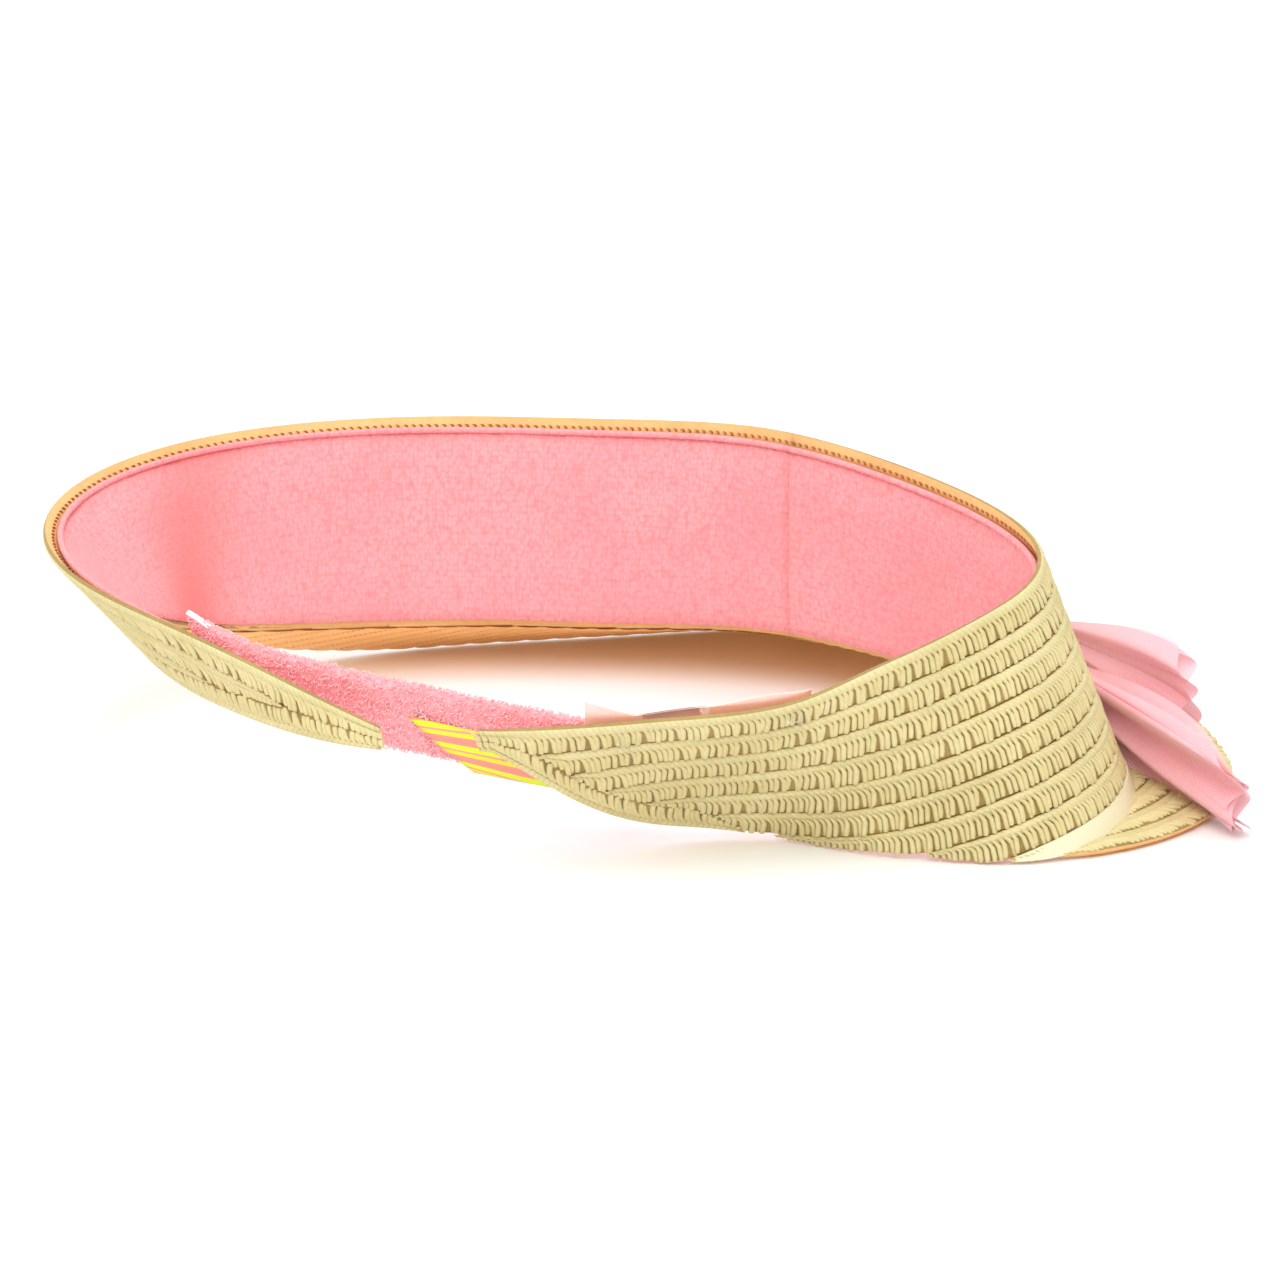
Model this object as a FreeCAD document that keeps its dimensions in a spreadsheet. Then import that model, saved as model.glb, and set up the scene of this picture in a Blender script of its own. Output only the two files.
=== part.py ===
"""Sun visor of sewn straw plait with a terry sweatband, an elastic back strap and a tulle bow.

Millimetres, +Z up, the visor resting on z = 0 with its front towards -Y.
Every angle is measured round the head from the front, positive towards the wearer's left (+X).
"""
import FreeCAD
import Part
import math
import os

V = FreeCAD.Vector

doc = FreeCAD.newDocument("sun_visor")
sheet = doc.addObject("Spreadsheet::Sheet", "sizes")

# ---------------------------------------------------------------- driving dimensions
SIZES = {
    # plan of the head ring at the top edge: an ellipse turned by ring_turn, fuller on its left
    "ring_half_width": 92.0,
    "ring_half_depth": 54.0,
    "ring_turn": 15.0,
    "ring_egg": 0.22,
    "shift_sideways": 1.33,
    "shift_fore_aft": 15.68,
    "lift": 0.378,
    # straw plait
    "course_width": 5.1,
    "band_courses": 9,
    "straw_thickness": 1.5,
    "course_gap": 0.36,
    "brim_course_width": 4.9,
    "brim_course_gap": 0.45,
    "brim_seam_gap": 2.8,
    "brim_end_margin": 2.0,
    # where each tail ends
    "right_tip": -178.0,
    "left_tip": 167.0,
    "narrowest_course": 0.8,
    # flex lines between the crown and the two tails
    "left_flex_angle": 100.0,
    "right_flex_angle": -100.0,
    "flex_gap": 0.6,
    # terry sweatband inside the straw
    "lining_thickness": 1.2,
    "lining_clearance": 0.5,
    "lining_top_margin": 1.6,
    "lining_bottom_margin": 1.0,
    "lining_roll_height": 1.4,
    "lining_roll_thickness": 1.6,
    "lining_narrowest": 4.0,
    # terry covered elastic strap across the back
    "strap_height": 14.0,
    "strap_thickness": 4.0,
    "strap_wall": 1.3,
    "strap_depth": 6.8,
    "elastic_height": 10.0,
    "elastic_thickness": 1.0,
    "strap_middle_gap": 2.0,
    "label_length": 15.0,
    "label_height": 9.0,
    "label_place": 0.62,
    "label_drop": 2.3,
    "label_thickness": 0.5,
    "label_clearance": 0.35,
    # care label sewn inside the right tail
    "care_label_first": -160.0,
    "care_label_last": -118.0,
    "care_label_height": 9.0,
    "care_label_thickness": 0.35,
    "care_label_clearance": 0.2,
    "care_label_peek": 3.0,
    "care_label_rise": 0.6,
    # sewn details
    "tack_length": 5.0,
    "tack_radius": 0.45,
    "tack_clearance": 0.3,
    "front_tack_angle": -121.0,
    "front_tack_down": 4.0,
    "rear_tack_angle": -152.0,
    "rear_tack_down": 5.0,
    # tulle bow on the wearer's right
    "bow_angle": -52.0,
    "bow_knot_down": 29.0,
    "bow_knot_length": 9.0,
    "bow_knot_height": 10.0,
    "bow_knot_thickness": 7.0,
    "bow_clearance": 0.4,
    "bow_loop_height": 12.0,
    "bow_loop_thickness": 5.0,
    "bow_tail_height": 9.0,
    "bow_tail_thickness": 3.0,
    "bow_root_height": 4.0,
    "bow_root_apart": 7.4,
    "bow_tail_stand_off": 2.0,
    "bow_root_thickness": 2.0,
    # each wing's length, how far it climbs and how far it swings out from the knot's own line
    "bow_rear_loop_length": 30.0,
    "bow_rear_loop_rise": -5.0,
    "bow_rear_loop_spread": 12.0,
    "bow_rear_tail_length": 57.9,
    "bow_rear_tail_rise": -8.6,
    "bow_rear_tail_spread": 1.5,
    "bow_front_loop_length": 34.0,
    "bow_front_loop_rise": 4.0,
    "bow_front_loop_spread": 6.0,
    "bow_front_tail_length": 40.0,
    "bow_front_tail_rise": -1.0,
    "bow_front_tail_spread": 13.0,
}

# Stations round the head: angle, height of the band's top edge, lean of the band
# (degrees from upright, positive where the lower edge stands outwards), width of the straw.
STATIONS = {
    "right_end": (-176, 25, -10, 4),
    "right_rear": (-150, 27, -28, 25),
    "right_quarter": (-123, 29, -25, 31),
    "right_turn": (-105, 35.2, 3, 34.8),
    "right_side": (-86, 41, 25, 44.6),
    "right_front": (-44, 48, 10, 40.8),
    "front": (0, 52, 0, 40.8),
    "left_front": (42, 50, -14, 40.8),
    "left_side": (84, 48, -25, 39),
    "left_quarter": (117, 40.5, -42, 23.5),
    "left_rear": (142, 35.5, -25, 16),
    "left_end": (167, 24, 0, 4),
}

# Stations along the brim: angle, reach beyond the seam, height of the outer edge.
# At the first and last station the brim runs out into the band's lower edge.
BRIM_STATIONS = {
    "brim_right_end": (-90, 0, 0),
    "brim_right_side": (-67, 22, 0),
    "brim_right_front": (-35, 44, 1),
    "brim_front": (0, 44, 0),
    "brim_left_front": (33, 28, 0),
    "brim_left_side": (70, 17, 2),
    "brim_left_end": (104, 0, 0),
}

row = 0


def write_cell(alias, value):
    """One named number in the spreadsheet."""
    global row
    row += 1
    cell = "A%d" % row
    sheet.set(cell, str(value))
    sheet.setAlias(cell, alias)


for alias, value in SIZES.items():
    write_cell(alias, value)
for place, (angle, height, lean, width) in STATIONS.items():
    write_cell(place + "_angle", angle)
    write_cell(place + "_height", height)
    write_cell(place + "_lean", lean)
    write_cell(place + "_width", width)
for place, (angle, reach, height) in BRIM_STATIONS.items():
    write_cell(place + "_angle", angle)
    write_cell(place + "_reach", reach)
    write_cell(place + "_height", height)
doc.recompute()


def size(alias):
    """The number that the spreadsheet holds under this name."""
    return float(sheet.get(alias))


def station_table(places, column):
    """The (angle, value) pairs of one column of stations, in order of angle."""
    return [(size(p + "_angle"), size(p + "_" + column)) for p in places]


def smooth(table, at):
    """A smooth curve through the table's points."""
    xs = [x for x, _ in table]
    ys = [y for _, y in table]
    last = len(xs) - 1
    at = min(max(at, xs[0]), xs[last])
    i = max(k for k in range(last) if xs[k] <= at)

    def slope(k):
        before, after = max(k - 1, 0), min(k + 1, last)
        return (ys[after] - ys[before]) / (xs[after] - xs[before])

    span = xs[i + 1] - xs[i]
    u = (at - xs[i]) / span
    rise = (3 - 2 * u) * u * u
    return (
        ys[i] * (1 - rise)
        + ys[i + 1] * rise
        + span * u * (1 - u) * ((1 - u) * slope(i) - u * slope(i + 1))
    )


# ---------------------------------------------------------------- the shape of the visor
TOP_HEIGHTS = station_table(STATIONS, "height")
LEANS = station_table(STATIONS, "lean")
WIDTHS = station_table(STATIONS, "width")
STRAW = size("straw_thickness")
COURSE = size("course_width")
GAP = size("course_gap")
BAND_WIDTH = COURSE * size("band_courses")


def ring_radius(angle):
    """Plan radius of the top edge."""
    a = math.radians(angle - size("ring_turn"))
    deep = math.cos(a) / size("ring_half_depth")
    wide = math.sin(a) / size("ring_half_width")
    return (1 + size("ring_egg") * math.sin(a)) / math.hypot(deep, wide)


def top_edge(angle):
    """A point of the band's top edge, on the face that meets the lining."""
    a = math.radians(angle)
    reach = ring_radius(angle)
    return V(
        reach * math.sin(a) + size("shift_sideways"),
        -reach * math.cos(a) + size("shift_fore_aft"),
        smooth(TOP_HEIGHTS, angle) + size("lift"),
    )


def outwards(angle):
    """The level direction that points out of the band."""
    along = top_edge(angle + 0.5) - top_edge(angle - 0.5)
    return V(along.y, -along.x, 0).normalize()


def band_point(angle, down, out):
    """A point of the band: so far down from its top edge, and so far out from its inner face."""
    level = outwards(angle)
    lean = math.radians(smooth(LEANS, angle))
    fall = level * math.sin(lean) + V(0, 0, -math.cos(lean))
    face = level * math.cos(lean) + V(0, 0, math.sin(lean))
    return top_edge(angle) + fall * down + face * out


def band_width(angle):
    """How far the straw reaches down from the top edge; it narrows along both tails."""
    return max(min(smooth(WIDTHS, angle), BAND_WIDTH), GAP)


BRIM_FIRST = size("brim_right_end_angle")
BRIM_LAST = size("brim_left_end_angle")
BRIM_GAP = size("brim_course_gap")
BRIM_REACHES = station_table(BRIM_STATIONS, "reach")


def seam(angle):
    """A point of the line where the brim leaves the band."""
    return band_point(angle, band_width(angle), 0)


BRIM_HEIGHTS = station_table(BRIM_STATIONS, "height")
BRIM_HEIGHTS[0] = (BRIM_FIRST, seam(BRIM_FIRST).z - size("lift"))
BRIM_HEIGHTS[-1] = (BRIM_LAST, seam(BRIM_LAST).z - size("lift"))


def brim_edge(angle):
    """A point of the brim's outer edge, on its underside."""
    a = math.radians(angle)
    reach = max(smooth(BRIM_REACHES, angle), 0)
    start = seam(angle)
    height = max(smooth(BRIM_HEIGHTS, angle), 0) + size("lift")
    return V(start.x + reach * math.sin(a), start.y - reach * math.cos(a), height)


def brim_length(angle):
    """Length of the brim from its outer edge to the seam."""
    return (seam(angle) - brim_edge(angle)).Length


def brim_point(angle, inwards, up):
    """A point of the brim: so far in from its outer edge, and so far up from its underside."""
    edge = brim_edge(angle)
    across = seam(angle) - edge
    if across.Length < 1e-6:
        across = V(0, 0, 1)
    across.normalize()
    along = brim_edge(angle + 0.5) - brim_edge(angle - 0.5)
    face = along.cross(across).normalize()
    if face.z < 0:
        face = face * -1
    return edge + across * inwards + face * up


# ---------------------------------------------------------------- making solids
STEP = 3.0  # degrees between the sections of a loft
BULGE = 0.8  # a smooth loft may swell this far past its sections
COARSE = 0.5  # mesh tolerance for the check of that swelling


def angles(first, last):
    """Section angles from first to last, evenly spaced and at most STEP apart."""
    count = max(2, math.ceil(abs(last - first) / STEP))
    return [first + (last - first) * i / count for i in range(count + 1)]


def where_wide(width, first, last, least):
    """The part of first..last where width(angle) is more than least, or None."""
    fine = [first + (last - first) * i / 720 for i in range(721)]
    wide = [angle for angle in fine if width(angle) > least]
    return (wide[0], wide[-1]) if wide else None


def strip(corners_at, stations):
    """A closed solid through the sections at the stations, smooth where that stays in bounds."""
    sections = [corners_at(station) for station in stations]
    wires = [Part.makePolygon(corners + [corners[0]]) for corners in sections]
    bounds = Part.makePolygon([corner for corners in sections for corner in corners]).BoundBox
    bounds.enlarge(BULGE)
    for straight in (False, True):
        solid = Part.makeLoft(wires, True, straight)
        solid.tessellate(COARSE)
        if bounds.isInside(solid.BoundBox) and solid.isValid():
            break
    if solid.Volume < 0:
        solid.reverse()
    return solid


def add(name, shape):
    """One sub-part, with the name of its file."""
    part = doc.addObject("Part::Feature", name)
    part.Shape = shape
    part.Label = name
    part.Placement = FreeCAD.Placement()
    return part


# Each body's share of the band: (name, first angle, last angle).
FLEX_HALF_LEFT = math.degrees(size("flex_gap") / ring_radius(size("left_flex_angle")))
FLEX_HALF_RIGHT = math.degrees(size("flex_gap") / ring_radius(size("right_flex_angle")))
SHARES = [
    ("crown", size("right_flex_angle"), size("left_flex_angle")),
    ("left_tail", size("left_flex_angle") + FLEX_HALF_LEFT, size("left_tip")),
    ("right_tail", size("right_tip"), size("right_flex_angle") - FLEX_HALF_RIGHT),
]


def band_course(number, share):
    """One course of plait in the band, parallel to the top edge and cut off by the lower edge."""
    name, first, last = share
    top = COURSE * (number - 1)
    found = where_wide(band_width, first, last, top + size("narrowest_course"))
    if not found:
        return

    def corners(angle):
        low = min(top + COURSE - GAP, band_width(angle))
        return [
            band_point(angle, top, 0),
            band_point(angle, low, 0),
            band_point(angle, low, STRAW),
            band_point(angle, top, STRAW),
        ]

    add("%s_course_%d" % (name, number), strip(corners, angles(*found)))


def brim_course(number):
    """One course of plait in the brim, parallel to its outer edge and cut off by the seam."""
    course = size("brim_course_width")
    edge = course * (number - 1)
    margin = size("brim_end_margin")
    first = max(BRIM_FIRST + margin, size("right_flex_angle") + margin)
    last = min(BRIM_LAST - margin, size("left_flex_angle") - margin)
    least = edge + size("brim_seam_gap") + size("narrowest_course")
    found = where_wide(brim_length, first, last, least)
    if not found:
        return

    def corners(angle):
        inner = min(edge + course - BRIM_GAP, brim_length(angle) - size("brim_seam_gap"))
        return [
            brim_point(angle, edge, 0),
            brim_point(angle, inner, 0),
            brim_point(angle, inner, STRAW),
            brim_point(angle, edge, STRAW),
        ]

    add("brim_course_%d" % number, strip(corners, angles(*found)))


def brim_courses():
    """As many courses as the brim's longest reach holds."""
    longest = max(brim_length(a) for a in angles(BRIM_FIRST, BRIM_LAST))
    count = math.floor((longest - size("narrowest_course")) / size("brim_course_width")) + 1
    for number in range(1, count + 1):
        brim_course(number)


# ---------------------------------------------------------------- sweatband
LINING_FACE = -size("lining_clearance")
LINING_BACK = LINING_FACE - size("lining_thickness")


def lining(share):
    """The terry panel inside one share of the band."""
    name, first, last = share
    top = size("lining_top_margin")
    margins = top + size("lining_bottom_margin")
    found = where_wide(band_width, first, last, margins + size("lining_narrowest"))

    def corners(angle):
        low = band_width(angle) - size("lining_bottom_margin")
        return [
            band_point(angle, top, LINING_FACE),
            band_point(angle, low, LINING_FACE),
            band_point(angle, low, LINING_BACK),
            band_point(angle, top, LINING_BACK),
        ]

    add("%s_sweatband" % name, strip(corners, angles(*found)))


def lining_roll(share):
    """The rolled hem along the top of the sweatband."""
    name, first, last = share
    low = size("lining_top_margin") - GAP
    high = low - size("lining_roll_height")
    margins = size("lining_top_margin") + size("lining_bottom_margin")
    found = where_wide(band_width, first, last, margins + size("lining_narrowest"))
    back = LINING_FACE - size("lining_roll_thickness")

    def corners(angle):
        return [
            band_point(angle, high, LINING_FACE),
            band_point(angle, low, LINING_FACE),
            band_point(angle, low, back),
            band_point(angle, high, back),
        ]

    add("%s_sweatband_hem" % name, strip(corners, angles(*found)))


# ---------------------------------------------------------------- strap
# The strap's middle line: an angle round the head and how far down from the top edge it runs.
STRAP_LEFT = [(136, 11), (150, 9.5)]
STRAP_RIGHT = [(-163, 11), (-144, 17)]
STRAP_SECTIONS = 24


def strap_frame(angle, down):
    """Middle, downward direction and outward direction of the strap at one station."""
    middle = band_point(angle, down, -size("strap_depth"))
    fall = band_point(angle, down + 1, 0) - band_point(angle, down, 0)
    face = band_point(angle, down, 1) - band_point(angle, down, 0)
    return middle, fall, face


STRAP_FRAMES = [strap_frame(*station) for station in STRAP_LEFT + STRAP_RIGHT]


def strap_point(along, down, out):
    """A point of the strap: along runs 0 to 1 from the left end to the right end."""
    count = len(STRAP_FRAMES)
    places = [i / (count - 1) for i in range(count)]

    def blended(part, axis):
        return smooth([(places[i], STRAP_FRAMES[i][part][axis]) for i in range(count)], along)

    middle, fall, face = [V(*[blended(part, axis) for axis in range(3)]) for part in range(3)]
    return middle + fall.normalize() * down + face.normalize() * out


STRAP_LENGTH = sum(
    (strap_point((i + 1) / 50, 0, 0) - strap_point(i / 50, 0, 0)).Length for i in range(50)
)


def strap_solid(first, last, outline):
    """A solid along the strap, from an outline of (down, out) corners."""

    def corners(along):
        return [strap_point(along, down, out) for down, out in outline]

    count = max(3, round(STRAP_SECTIONS * (last - first)))
    return strip(corners, [first + (last - first) * i / count for i in range(count + 1)])


def flat_outline(height, thickness, out=0.0):
    """The four corners of a flat strip."""
    h, d = height / 2, thickness / 2
    return [(-h, out - d), (h, out - d), (h, out + d), (-h, out + d)]


def sleeve_outline():
    """A flat tube, open only by its sewn seam along the lower edge."""
    h, d = size("strap_height") / 2, size("strap_thickness") / 2
    ih, id_ = h - size("strap_wall"), d - size("strap_wall")
    g = GAP / 2
    outer = [(h, g), (h, d), (-h, d), (-h, -d), (h, -d), (h, -g)]
    inner = [(ih, -g), (ih, -id_), (-ih, -id_), (-ih, id_), (ih, id_), (ih, g)]
    return outer + inner


def strap():
    """The terry sleeve and its elastic, in two halves that part at the middle of the back."""
    half_gap = size("strap_middle_gap") / 2 / STRAP_LENGTH
    elastic = flat_outline(size("elastic_height"), size("elastic_thickness"))
    for side, first, last in (("left", 0.0, 0.5 - half_gap), ("right", 0.5 + half_gap, 1.0)):
        add("strap_sleeve_%s" % side, strap_solid(first, last, sleeve_outline()))
        add("strap_elastic_%s" % side, strap_solid(first, last, elastic))


def strap_label():
    """The striped woven label on the outside of the strap, near the right tail."""
    out = size("strap_thickness") / 2 + size("label_clearance") + size("label_thickness") / 2
    middle = size("label_place")
    half = size("label_length") / 2 / STRAP_LENGTH
    flat = flat_outline(size("label_height"), size("label_thickness"), out)
    outline = [(down + size("label_drop"), depth) for down, depth in flat]
    add("striped_label", strap_solid(middle - half, middle + half, outline))


# ---------------------------------------------------------------- sewn details
CORNER_POWER = 6  # how quickly the care label's corner falls away from its peak


def care_label():
    """A satin ribbon inside the right tail, with one corner above the edge."""
    first, last = size("care_label_first"), size("care_label_last")
    face = LINING_FACE - size("lining_roll_thickness") - size("care_label_clearance")
    back = face - size("care_label_thickness")

    def corners(angle):
        u = (angle - first) / (last - first)
        high = -size("care_label_peek") * (1 - u) ** CORNER_POWER - size("care_label_rise")
        low = size("care_label_height")
        return [
            band_point(angle, high, face),
            band_point(angle, low, face),
            band_point(angle, low, back),
            band_point(angle, high, back),
        ]

    add("care_label", strip(corners, angles(first, last)))


def thread_tack(angle, down):
    """A clear thread tack standing across the outer face of the straw."""
    half = size("tack_length") / 2
    out = STRAW + size("tack_radius") + size("tack_clearance")
    low = band_point(angle, down + half, out)
    high = band_point(angle, down - half, out)
    return Part.makeCylinder(size("tack_radius"), (high - low).Length, low, high - low)


def tacks():
    """The bits of clear thread that hold the care label, on the outside of the right tail."""
    places = [(size(p + "_tack_angle"), size(p + "_tack_down")) for p in ("front", "rear")]
    add("thread_tacks", Part.makeCompound([thread_tack(*place) for place in places]))


# ---------------------------------------------------------------- bow
def bow_knot():
    """The gathered knot, sewn to the outer face of the band."""
    angle, down = size("bow_angle"), size("bow_knot_down")
    out = STRAW + size("bow_clearance") + size("bow_knot_thickness") / 2
    knot = doc.addObject("Part::Ellipsoid", "bow_knot")
    knot.Label = "bow_knot"
    knot.setExpression("Radius1", "sizes.bow_knot_height / 2 * 1mm")
    knot.setExpression("Radius2", "sizes.bow_knot_thickness / 2 * 1mm")
    knot.setExpression("Radius3", "sizes.bow_knot_length / 2 * 1mm")
    knot.Angle1, knot.Angle2, knot.Angle3 = -90, 90, 360
    level = outwards(angle)
    heading = math.degrees(math.atan2(level.y, level.x))
    tilt = FreeCAD.Rotation(V(0, 1, 0), -smooth(LEANS, angle))
    turn = FreeCAD.Rotation(V(0, 0, 1), heading)
    knot.Placement = FreeCAD.Placement(band_point(angle, down, out), turn * tilt)


WING_SECTIONS = 6


def bow_wing(name, way, kind, lift, stand_off):
    """One gathered loop or tail that fans out from the knot along the band's outer face."""
    end, thickness = size("bow_%s_height" % kind), size("bow_%s_thickness" % kind)
    length, rise, spread = [size("%s_%s" % (name, part)) for part in ("length", "rise", "spread")]
    root, root_thickness = size("bow_root_height"), size("bow_root_thickness")
    angle, down = size("bow_angle"), size("bow_knot_down")
    level = outwards(angle)
    along = V(-level.y, level.x, 0) * way
    centre = band_point(angle, down, STRAW + size("bow_clearance") + size("bow_knot_thickness") / 2)
    start = centre + along * (size("bow_knot_length") / 2 + size("bow_clearance"))
    start = start + level * stand_off + V(0, 0, lift)

    def corners(u):
        bend = math.sin(math.radians(90 * u))
        height = root + (end - root) * bend
        thick = root_thickness + (thickness - root_thickness) * math.sin(math.pi * u)
        middle = start + along * (length * u) + level * (spread * bend) + V(0, 0, rise * u)
        half_up, half_out = V(0, 0, height / 2), level * (thick / 2)
        return [
            middle - half_up - half_out,
            middle + half_up - half_out,
            middle + half_up + half_out,
            middle - half_up + half_out,
        ]

    add(name, strip(corners, [i / WING_SECTIONS for i in range(WING_SECTIONS + 1)]))


def bow():
    bow_knot()
    apart = size("bow_root_apart") / 2
    for side, way in (("rear", -1), ("front", 1)):
        bow_wing("bow_%s_loop" % side, way, "loop", apart, 0)
        bow_wing("bow_%s_tail" % side, way, "tail", -apart, size("bow_tail_stand_off"))


# ---------------------------------------------------------------- build
for share in SHARES:
    for number in range(1, round(size("band_courses")) + 1):
        band_course(number, share)
brim_courses()
for share in SHARES:
    lining(share)
    lining_roll(share)
strap()
strap_label()
care_label()
tacks()
bow()

doc.recompute()
os.makedirs("parts", exist_ok=True)
for part in doc.Objects:
    if part is sheet:
        continue
    if any(word in part.State for word in ("Invalid", "Error")):
        raise RuntimeError("%s did not recompute: %s" % (part.Label, part.State))
    if part.Shape.isNull() or not part.Shape.isValid():
        raise RuntimeError("%s has no valid shape" % part.Label)
    part.Shape.exportStep("parts/%s.step" % part.Label)
print("wrote %d parts" % (len(doc.Objects) - 1))
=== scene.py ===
"""Sun visor: sewn straw plait, terry sweatband, terry strap across the back, labels and a tulle bow."""

import math
import random

import bmesh
import bpy
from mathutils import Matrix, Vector, noise


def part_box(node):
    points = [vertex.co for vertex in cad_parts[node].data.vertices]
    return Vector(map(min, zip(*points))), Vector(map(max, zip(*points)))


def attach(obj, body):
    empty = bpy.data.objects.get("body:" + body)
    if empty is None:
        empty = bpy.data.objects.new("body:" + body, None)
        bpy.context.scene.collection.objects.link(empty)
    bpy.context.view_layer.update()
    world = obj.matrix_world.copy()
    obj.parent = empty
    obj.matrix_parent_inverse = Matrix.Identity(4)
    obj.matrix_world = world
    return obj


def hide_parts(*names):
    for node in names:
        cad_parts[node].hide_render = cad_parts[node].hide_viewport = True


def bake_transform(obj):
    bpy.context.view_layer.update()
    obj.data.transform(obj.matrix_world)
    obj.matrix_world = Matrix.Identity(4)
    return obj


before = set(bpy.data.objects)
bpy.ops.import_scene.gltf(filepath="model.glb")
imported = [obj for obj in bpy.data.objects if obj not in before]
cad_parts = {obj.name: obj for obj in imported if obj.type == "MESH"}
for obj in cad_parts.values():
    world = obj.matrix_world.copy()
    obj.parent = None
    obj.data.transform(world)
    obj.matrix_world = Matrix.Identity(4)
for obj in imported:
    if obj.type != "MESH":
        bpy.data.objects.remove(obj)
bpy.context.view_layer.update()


MM = 0.001
CLOTH_UNIT = 10.0  # millimetres of cloth to one unit of its UV map
random.seed(7)

# ---------------------------------------------------------------- the visor's shape, as in the CAD
# angle round the head, height of the top edge, lean of the band, width of the straw
STATIONS = [
    (-176, 25, -10, 4),
    (-150, 27, -28, 25),
    (-123, 29, -25, 31),
    (-105, 35.2, 3, 34.8),
    (-86, 41, 25, 44.6),
    (-44, 48, 10, 40.8),
    (0, 52, 0, 40.8),
    (42, 50, -14, 40.8),
    (84, 48, -25, 39),
    (117, 40.5, -42, 23.5),
    (142, 35.5, -25, 16),
    (167, 24, 0, 4),
]
# angle, reach of the brim beyond the seam, height of its outer edge
BRIM_STATIONS = [
    (-90, 0, 0),
    (-67, 22, 0),
    (-35, 44, 1),
    (0, 44, 0),
    (33, 28, 0),
    (70, 17, 2),
    (104, 0, 0),
]
RING_HALF_WIDTH = 92.0
RING_HALF_DEPTH = 54.0
RING_TURN = 15.0
RING_EGG = 0.22
COURSE = 5.1
BAND_COURSES = 9
BAND_WIDTH = COURSE * BAND_COURSES
BRIM_COURSE = 4.9
STRAW = 1.5
RIGHT_TIP, LEFT_TIP = -178.0, 167.0
BRIM_FIRST, BRIM_LAST = BRIM_STATIONS[0][0], BRIM_STATIONS[-1][0]
SPLIT = -4.0  # the angle at the front where left and right pieces meet


def smooth(table, at):
    """A smooth curve through the table's points."""
    xs = [x for x, _ in table]
    ys = [y for _, y in table]
    last = len(xs) - 1
    at = min(max(at, xs[0]), xs[last])
    i = max(k for k in range(last) if xs[k] <= at)

    def slope(k):
        before, after = max(k - 1, 0), min(k + 1, last)
        return (ys[after] - ys[before]) / (xs[after] - xs[before])

    span = xs[i + 1] - xs[i]
    u = (at - xs[i]) / span
    rise = (3 - 2 * u) * u * u
    bend = span * u * (1 - u) * ((1 - u) * slope(i) - u * slope(i + 1))
    return ys[i] * (1 - rise) + ys[i + 1] * rise + bend


def column(stations, index):
    return [(station[0], station[index]) for station in stations]


TOP_HEIGHTS = column(STATIONS, 1)
LEANS = column(STATIONS, 2)
WIDTHS = column(STATIONS, 3)
shift = Vector((0, 0, 0))


def top_edge(angle):
    """A point of the band's top edge, in millimetres."""
    a = math.radians(angle)
    turned = math.radians(angle - RING_TURN)
    oval = math.hypot(math.cos(turned) / RING_HALF_DEPTH, math.sin(turned) / RING_HALF_WIDTH)
    reach = (1 + RING_EGG * math.sin(turned)) / oval
    place = Vector((reach * math.sin(a), -reach * math.cos(a), smooth(TOP_HEIGHTS, angle)))
    return place + shift


def outwards(angle):
    along = top_edge(angle + 0.5) - top_edge(angle - 0.5)
    return Vector((along.y, -along.x, 0)).normalized()


def band_frame(angle):
    """Top edge, downward direction and outward direction of the band."""
    level = outwards(angle)
    lean = math.radians(smooth(LEANS, angle))
    up = Vector((0, 0, 1))
    fall = level * math.sin(lean) - up * math.cos(lean)
    face = level * math.cos(lean) + up * math.sin(lean)
    return top_edge(angle), fall, face


def band_point(angle, down, out):
    top, fall, face = band_frame(angle)
    return top + fall * down + face * out


def band_width(angle):
    return max(min(smooth(WIDTHS, angle), BAND_WIDTH), 0.1)


def place_in_frame():
    """Shift the formulas so that the top course lands in its box of the frame."""
    low, high = [Vector(corner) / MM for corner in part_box("crown_course_1")]
    points = [
        band_point(angle / 2, down, out)
        for angle in range(-200, 201)  # the crown's part of the band, between the tails
        for down in (0, COURSE - 0.3)
        for out in (0, STRAW)
    ]
    own_low = Vector([min(p[i] for p in points) for i in range(3)])
    own_high = Vector([max(p[i] for p in points) for i in range(3)])
    return (low + high - own_low - own_high) / 2


shift = place_in_frame()


def seam(angle):
    return band_point(angle, band_width(angle), 0)


BRIM_REACHES = column(BRIM_STATIONS, 1)
BRIM_HEIGHTS = column(BRIM_STATIONS, 2)
BRIM_HEIGHTS[0] = (BRIM_FIRST, seam(BRIM_FIRST).z - shift.z)
BRIM_HEIGHTS[-1] = (BRIM_LAST, seam(BRIM_LAST).z - shift.z)


def brim_edge(angle):
    a = math.radians(angle)
    reach = max(smooth(BRIM_REACHES, angle), 0)
    start = seam(angle)
    height = max(smooth(BRIM_HEIGHTS, angle), 0) + shift.z
    return Vector((start.x + reach * math.sin(a), start.y - reach * math.cos(a), height))


def brim_length(angle):
    return (seam(angle) - brim_edge(angle)).length


def brim_frame(angle):
    """Outer edge, direction towards the seam and upward direction of the brim."""
    edge = brim_edge(angle)
    across = (seam(angle) - edge).normalized()
    along = brim_edge(angle + 0.5) - brim_edge(angle - 0.5)
    face = along.cross(across).normalized()
    if face.z < 0:
        face = -face
    return edge, across, face


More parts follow.
